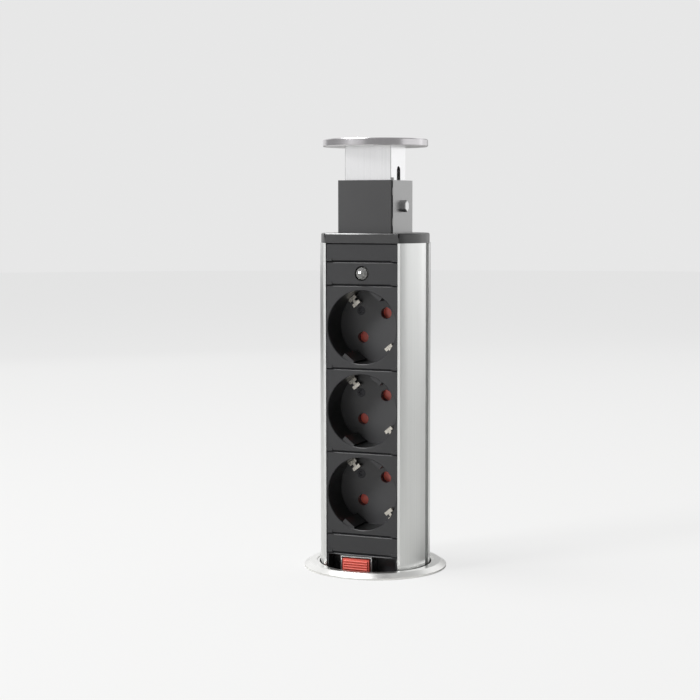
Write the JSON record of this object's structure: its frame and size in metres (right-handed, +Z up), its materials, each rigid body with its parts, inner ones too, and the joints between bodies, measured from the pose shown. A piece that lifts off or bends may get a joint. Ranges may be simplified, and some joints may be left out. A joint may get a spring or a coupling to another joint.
{
  "type": "pop up desk socket",
  "caption": "Round aluminium power tower with recessed earthed sockets that slides up through a desk collar, with an indicator lens, a push latch and a lid on a sliding bracket.",
  "frame": {"origin": "centre of the collar's underside, on the desk top, with the tower raised and its lid lifted", "axes": "+Z up along the tower; -Y to the front, where the sockets face; +X to the right seen from the front"},
  "size_m": [0.088, 0.088, 0.3076],
  "materials": {
    "silver_metal": "satin, bright bevel",
    "anodised_aluminium": "satin anodised",
    "lid_metal": "brushed",
    "soft_rubber": "matt",
    "dark_plastic": "matt",
    "black_plastic": "fine satin",
    "white_plastic": "satin",
    "clear_plastic": "clear, glossy",
    "circuit_board": "satin",
    "nickel_metal": "satin nickel",
    "zinc_steel": "zinc plated",
    "red_plastic": "satin",
    "spring_steel": "bright",
    "brass": "bright",
    "black_steel": "satin black",
    "bright_steel": "bright zinc",
    "chromed_steel": "polished"
  },
  "bodies": {
    "collar": {"collar_ring": "silver_metal", "desk_gasket": "soft_rubber", "collar_neck": "dark_plastic", "guide_keys": "white_plastic", "friction_pads": "soft_rubber"},
    "nut": {"clamp_nut": "dark_plastic", "clamp_washer": "zinc_steel"},
    "tower": {"bottom_blank_panel": "black_plastic", "cap_screws": "zinc_steel", "contact_carrier_1": "dark_plastic", "contact_carrier_2": "dark_plastic", "contact_carrier_3": "dark_plastic", "earth_bar": "brass", "earth_clip_1": "nickel_metal", "earth_clip_2": "nickel_metal", "earth_clip_3": "nickel_metal", "end_plug": "dark_plastic", "end_plug_screws": "zinc_steel", "floor_screws": "zinc_steel", "gland_body": "dark_plastic", "gland_locknut": "dark_plastic", "gland_nut": "dark_plastic", "gland_seal": "soft_rubber", "guide_bolt": "chromed_steel", "guide_nut": "chromed_steel", "guide_washer": "chromed_steel", "indicator_board": "circuit_board", "indicator_lamp": "clear_plastic", "indicator_lens": "clear_plastic", "indicator_panel": "black_plastic", "latch_frame": "spring_steel", "latch_housing": "black_plastic", "latch_spring": "spring_steel", "line_bar": "brass", "line_contacts": "brass", "lower_cover_panel": "black_plastic", "neutral_bar": "brass", "neutral_contacts": "brass", "shutter_springs": "spring_steel", "sleeve_front_plate": "black_steel", "sleeve_shell": "black_steel", "socket_1": "black_plastic", "socket_2": "black_plastic", "socket_3": "black_plastic", "stop_ring": "dark_plastic", "terminal_block": "white_plastic", "terminal_screws": "zinc_steel", "top_blank_panel": "black_plastic", "top_cap": "black_plastic", "tower_profile": "anodised_aluminium", "wiring_cover": "dark_plastic"},
    "shutter_1": {"shutter_1": "red_plastic"},
    "shutter_2": {"shutter_2": "red_plastic"},
    "shutter_3": {"shutter_3": "red_plastic"},
    "latch": {"latch_button": "red_plastic"},
    "lid": {"lid_disc": "lid_metal", "lid_bracket": "bright_steel", "lid_screws": "zinc_steel"}
  },
  "joints": [
    {"name": "tower_slide", "type": "slide", "parent": "collar", "child": "tower", "axis": [0, 0, 1], "range_m": [-0.2135, 0]},
    {"name": "lid_slide", "type": "slide", "parent": "tower", "child": "lid", "axis": [0, 0, 1], "range_m": [-0.0163, 0]},
    {"name": "latch_press", "type": "slide", "parent": "tower", "child": "latch", "axis": [0, 1, 0], "range_m": [0, 0.0035], "stiffness_N_per_m": 500, "springref_m": -0.003, "deforming": ["latch_spring"]},
    {"name": "shutter_1_turn", "type": "hinge", "parent": "tower", "child": "shutter_1", "pos_m": [0, 0.0039, 0.1325], "axis": [0, 1, 0], "range_deg": [0, 43], "stiffness_Nm_per_rad": 0.0004, "springref_deg": -28.65},
    {"name": "shutter_2_turn", "type": "hinge", "parent": "tower", "child": "shutter_2", "pos_m": [0, 0.0039, 0.0875], "axis": [0, 1, 0], "range_deg": [0, 43], "stiffness_Nm_per_rad": 0.0004, "springref_deg": -28.65},
    {"name": "shutter_3_turn", "type": "hinge", "parent": "tower", "child": "shutter_3", "pos_m": [0, 0.0039, 0.0425], "axis": [0, 1, 0], "range_deg": [0, 43], "stiffness_Nm_per_rad": 0.0004, "springref_deg": -28.65},
    {"name": "clamp_nut_travel", "type": "slide", "parent": "collar", "child": "nut", "axis": [0, 0, 1], "range_m": [-0.011, 0.015]}
  ]
}
